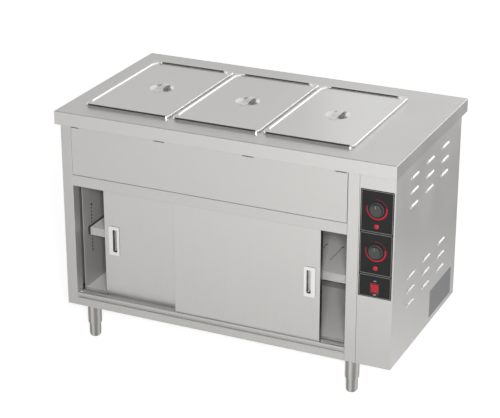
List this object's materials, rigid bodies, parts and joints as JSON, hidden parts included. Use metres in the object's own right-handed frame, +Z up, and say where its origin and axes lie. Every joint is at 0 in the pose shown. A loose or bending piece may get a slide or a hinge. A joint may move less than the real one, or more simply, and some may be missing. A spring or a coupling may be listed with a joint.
{
  "type": "heated serving counter with plate warming cupboard",
  "caption": "Free-standing stainless counter: lidded food pans in a heated well over a warm plate cupboard with sliding doors, and a control box with louvred side.",
  "frame": {"origin": "on the floor under the middle of the whole counter's bounding box", "axes": "+X to the right along the counter as seen from the front, +Y to the back, +Z up"},
  "size_m": [1.2541, 0.7318, 0.88],
  "materials": {
    "worktop_steel": "brushed stainless sheet",
    "well_steel": "pressed stainless sheet, dull",
    "panel_steel": "brushed stainless sheet, folded",
    "door_steel": "brushed stainless sheet, folded",
    "frame_steel": "welded stainless tube",
    "liner_steel": "matt stainless sheet",
    "clip_steel": "stainless, plain",
    "element_sheath": "heater sheath, oxidised",
    "track_steel": "folded stainless, satin",
    "overlay_film": "printed polyester film, satin black",
    "switch_black": "moulded nylon, black",
    "rocker_red": "translucent polycarbonate, red",
    "lamp_red": "translucent polycarbonate lens, red",
    "terminal_cream": "moulded phenolic, cream",
    "gland_grey": "moulded nylon, grey",
    "leg_steel": "turned and drawn stainless tube",
    "handle_satin": "pressed stainless, satin",
    "handle_bright": "polished stainless strap",
    "hanger_nylon": "moulded nylon, natural",
    "pan_steel": "pressed stainless, satin",
    "lid_steel": "pressed stainless, satin",
    "knob_black": "moulded phenolic, dark grey",
    "spindle_steel": "turned steel",
    "thermostat_shell": "zinc-plated steel shell"
  },
  "bodies": {
    "root": {"back_panel": "panel_steel", "base_frame": "frame_steel", "base_front_rail": "panel_steel", "bottom_door_track": "track_steel", "cable_gland": "gland_grey", "control_box_back": "panel_steel", "control_front_panel": "panel_steel", "control_overlay": "overlay_film", "cupboard_element": "element_sheath", "cupboard_floor": "liner_steel", "cupboard_liner": "liner_steel", "cupboard_thermostat": "thermostat_shell", "front_fascia": "panel_steel", "front_left_post": "panel_steel", "front_right_post": "panel_steel", "header_rail": "panel_steel", "heated_well": "well_steel", "heater_guard": "liner_steel", "left_side_panel": "panel_steel", "leg_nuts": "clip_steel", "leg_tubes": "leg_steel", "louvred_side_panel": "panel_steel", "pan_support_bars": "worktop_steel", "partition_panel": "panel_steel", "pilot_lamps": "lamp_red", "rear_posts": "panel_steel", "shelf_clips": "clip_steel", "switch_housing": "switch_black", "terminal_block": "terminal_cream", "top_door_track": "track_steel", "well_element": "element_sheath", "well_thermostat": "thermostat_shell", "worktop": "worktop_steel"},
    "left_door": {"left_door_skin": "door_steel", "left_door_inner": "liner_steel", "left_door_handle": "handle_satin", "left_door_hangers": "hanger_nylon"},
    "right_door": {"right_door_skin": "door_steel", "right_door_inner": "liner_steel", "right_door_handle": "handle_satin", "right_door_hangers": "hanger_nylon"},
    "pan_left": {"pan_left": "pan_steel"},
    "lid_left": {"lid_left": "lid_steel", "lid_handle_left": "handle_bright"},
    "pan_middle": {"pan_middle": "pan_steel"},
    "lid_middle": {"lid_middle": "lid_steel", "lid_handle_middle": "handle_bright"},
    "pan_right": {"pan_right": "pan_steel"},
    "lid_right": {"lid_right": "lid_steel", "lid_handle_right": "handle_bright"},
    "shelf": {"shelf": "liner_steel"},
    "well_knob": {"well_knob": "knob_black", "well_spindle": "spindle_steel"},
    "cupboard_knob": {"cupboard_knob": "knob_black", "cupboard_spindle": "spindle_steel"},
    "switch_rocker": {"switch_rocker": "rocker_red"},
    "foot_front_left": {"foot_front_left": "leg_steel"},
    "foot_front_right": {"foot_front_right": "leg_steel"},
    "foot_rear_left": {"foot_rear_left": "leg_steel"},
    "foot_rear_right": {"foot_rear_right": "leg_steel"}
  },
  "joints": [
    {"name": "left_door_slide", "type": "slide", "parent": "root", "child": "left_door", "axis": [1, 0, 0], "range_m": [-0.1025, 0.376]},
    {"name": "right_door_slide", "type": "slide", "parent": "root", "child": "right_door", "axis": [1, 0, 0], "range_m": [-0.3875, 0.091]},
    {"name": "pan_left_lift", "type": "slide", "parent": "root", "child": "pan_left", "axis": [0, 0, 1], "range_m": [0, 0.2]},
    {"name": "lid_left_lift", "type": "slide", "parent": "pan_left", "child": "lid_left", "axis": [0, 0, 1], "range_m": [0, 0.12]},
    {"name": "pan_middle_lift", "type": "slide", "parent": "root", "child": "pan_middle", "axis": [0, 0, 1], "range_m": [0, 0.2]},
    {"name": "lid_middle_lift", "type": "slide", "parent": "pan_middle", "child": "lid_middle", "axis": [0, 0, 1], "range_m": [0, 0.12]},
    {"name": "pan_right_lift", "type": "slide", "parent": "root", "child": "pan_right", "axis": [0, 0, 1], "range_m": [0, 0.2]},
    {"name": "lid_right_lift", "type": "slide", "parent": "pan_right", "child": "lid_right", "axis": [0, 0, 1], "range_m": [0, 0.12]},
    {"name": "shelf_lift", "type": "slide", "parent": "root", "child": "shelf", "axis": [0, 0, 1], "range_m": [0, 0.12]},
    {"name": "well_knob_turn", "type": "hinge", "parent": "root", "child": "well_knob", "pos_m": [0.5595, -0.3509, 0.71], "axis": [0, 1, 0], "range_deg": [0, 270]},
    {"name": "cupboard_knob_turn", "type": "hinge", "parent": "root", "child": "cupboard_knob", "pos_m": [0.5595, -0.3509, 0.5626], "axis": [0, 1, 0], "range_deg": [0, 270]},
    {"name": "rocker_tip", "type": "hinge", "parent": "root", "child": "switch_rocker", "pos_m": [0.5595, -0.3479, 0.432], "axis": [1, 0, 0], "range_deg": [-16, 0]},
    {"name": "foot_front_left_height", "type": "slide", "parent": "root", "child": "foot_front_left", "axis": [0, 0, 1], "range_m": [-0.018, 0.01]},
    {"name": "foot_front_right_height", "type": "slide", "parent": "root", "child": "foot_front_right", "axis": [0, 0, 1], "range_m": [-0.018, 0.01]},
    {"name": "foot_rear_left_height", "type": "slide", "parent": "root", "child": "foot_rear_left", "axis": [0, 0, 1], "range_m": [-0.018, 0.01]},
    {"name": "foot_rear_right_height", "type": "slide", "parent": "root", "child": "foot_rear_right", "axis": [0, 0, 1], "range_m": [-0.018, 0.01]}
  ]
}
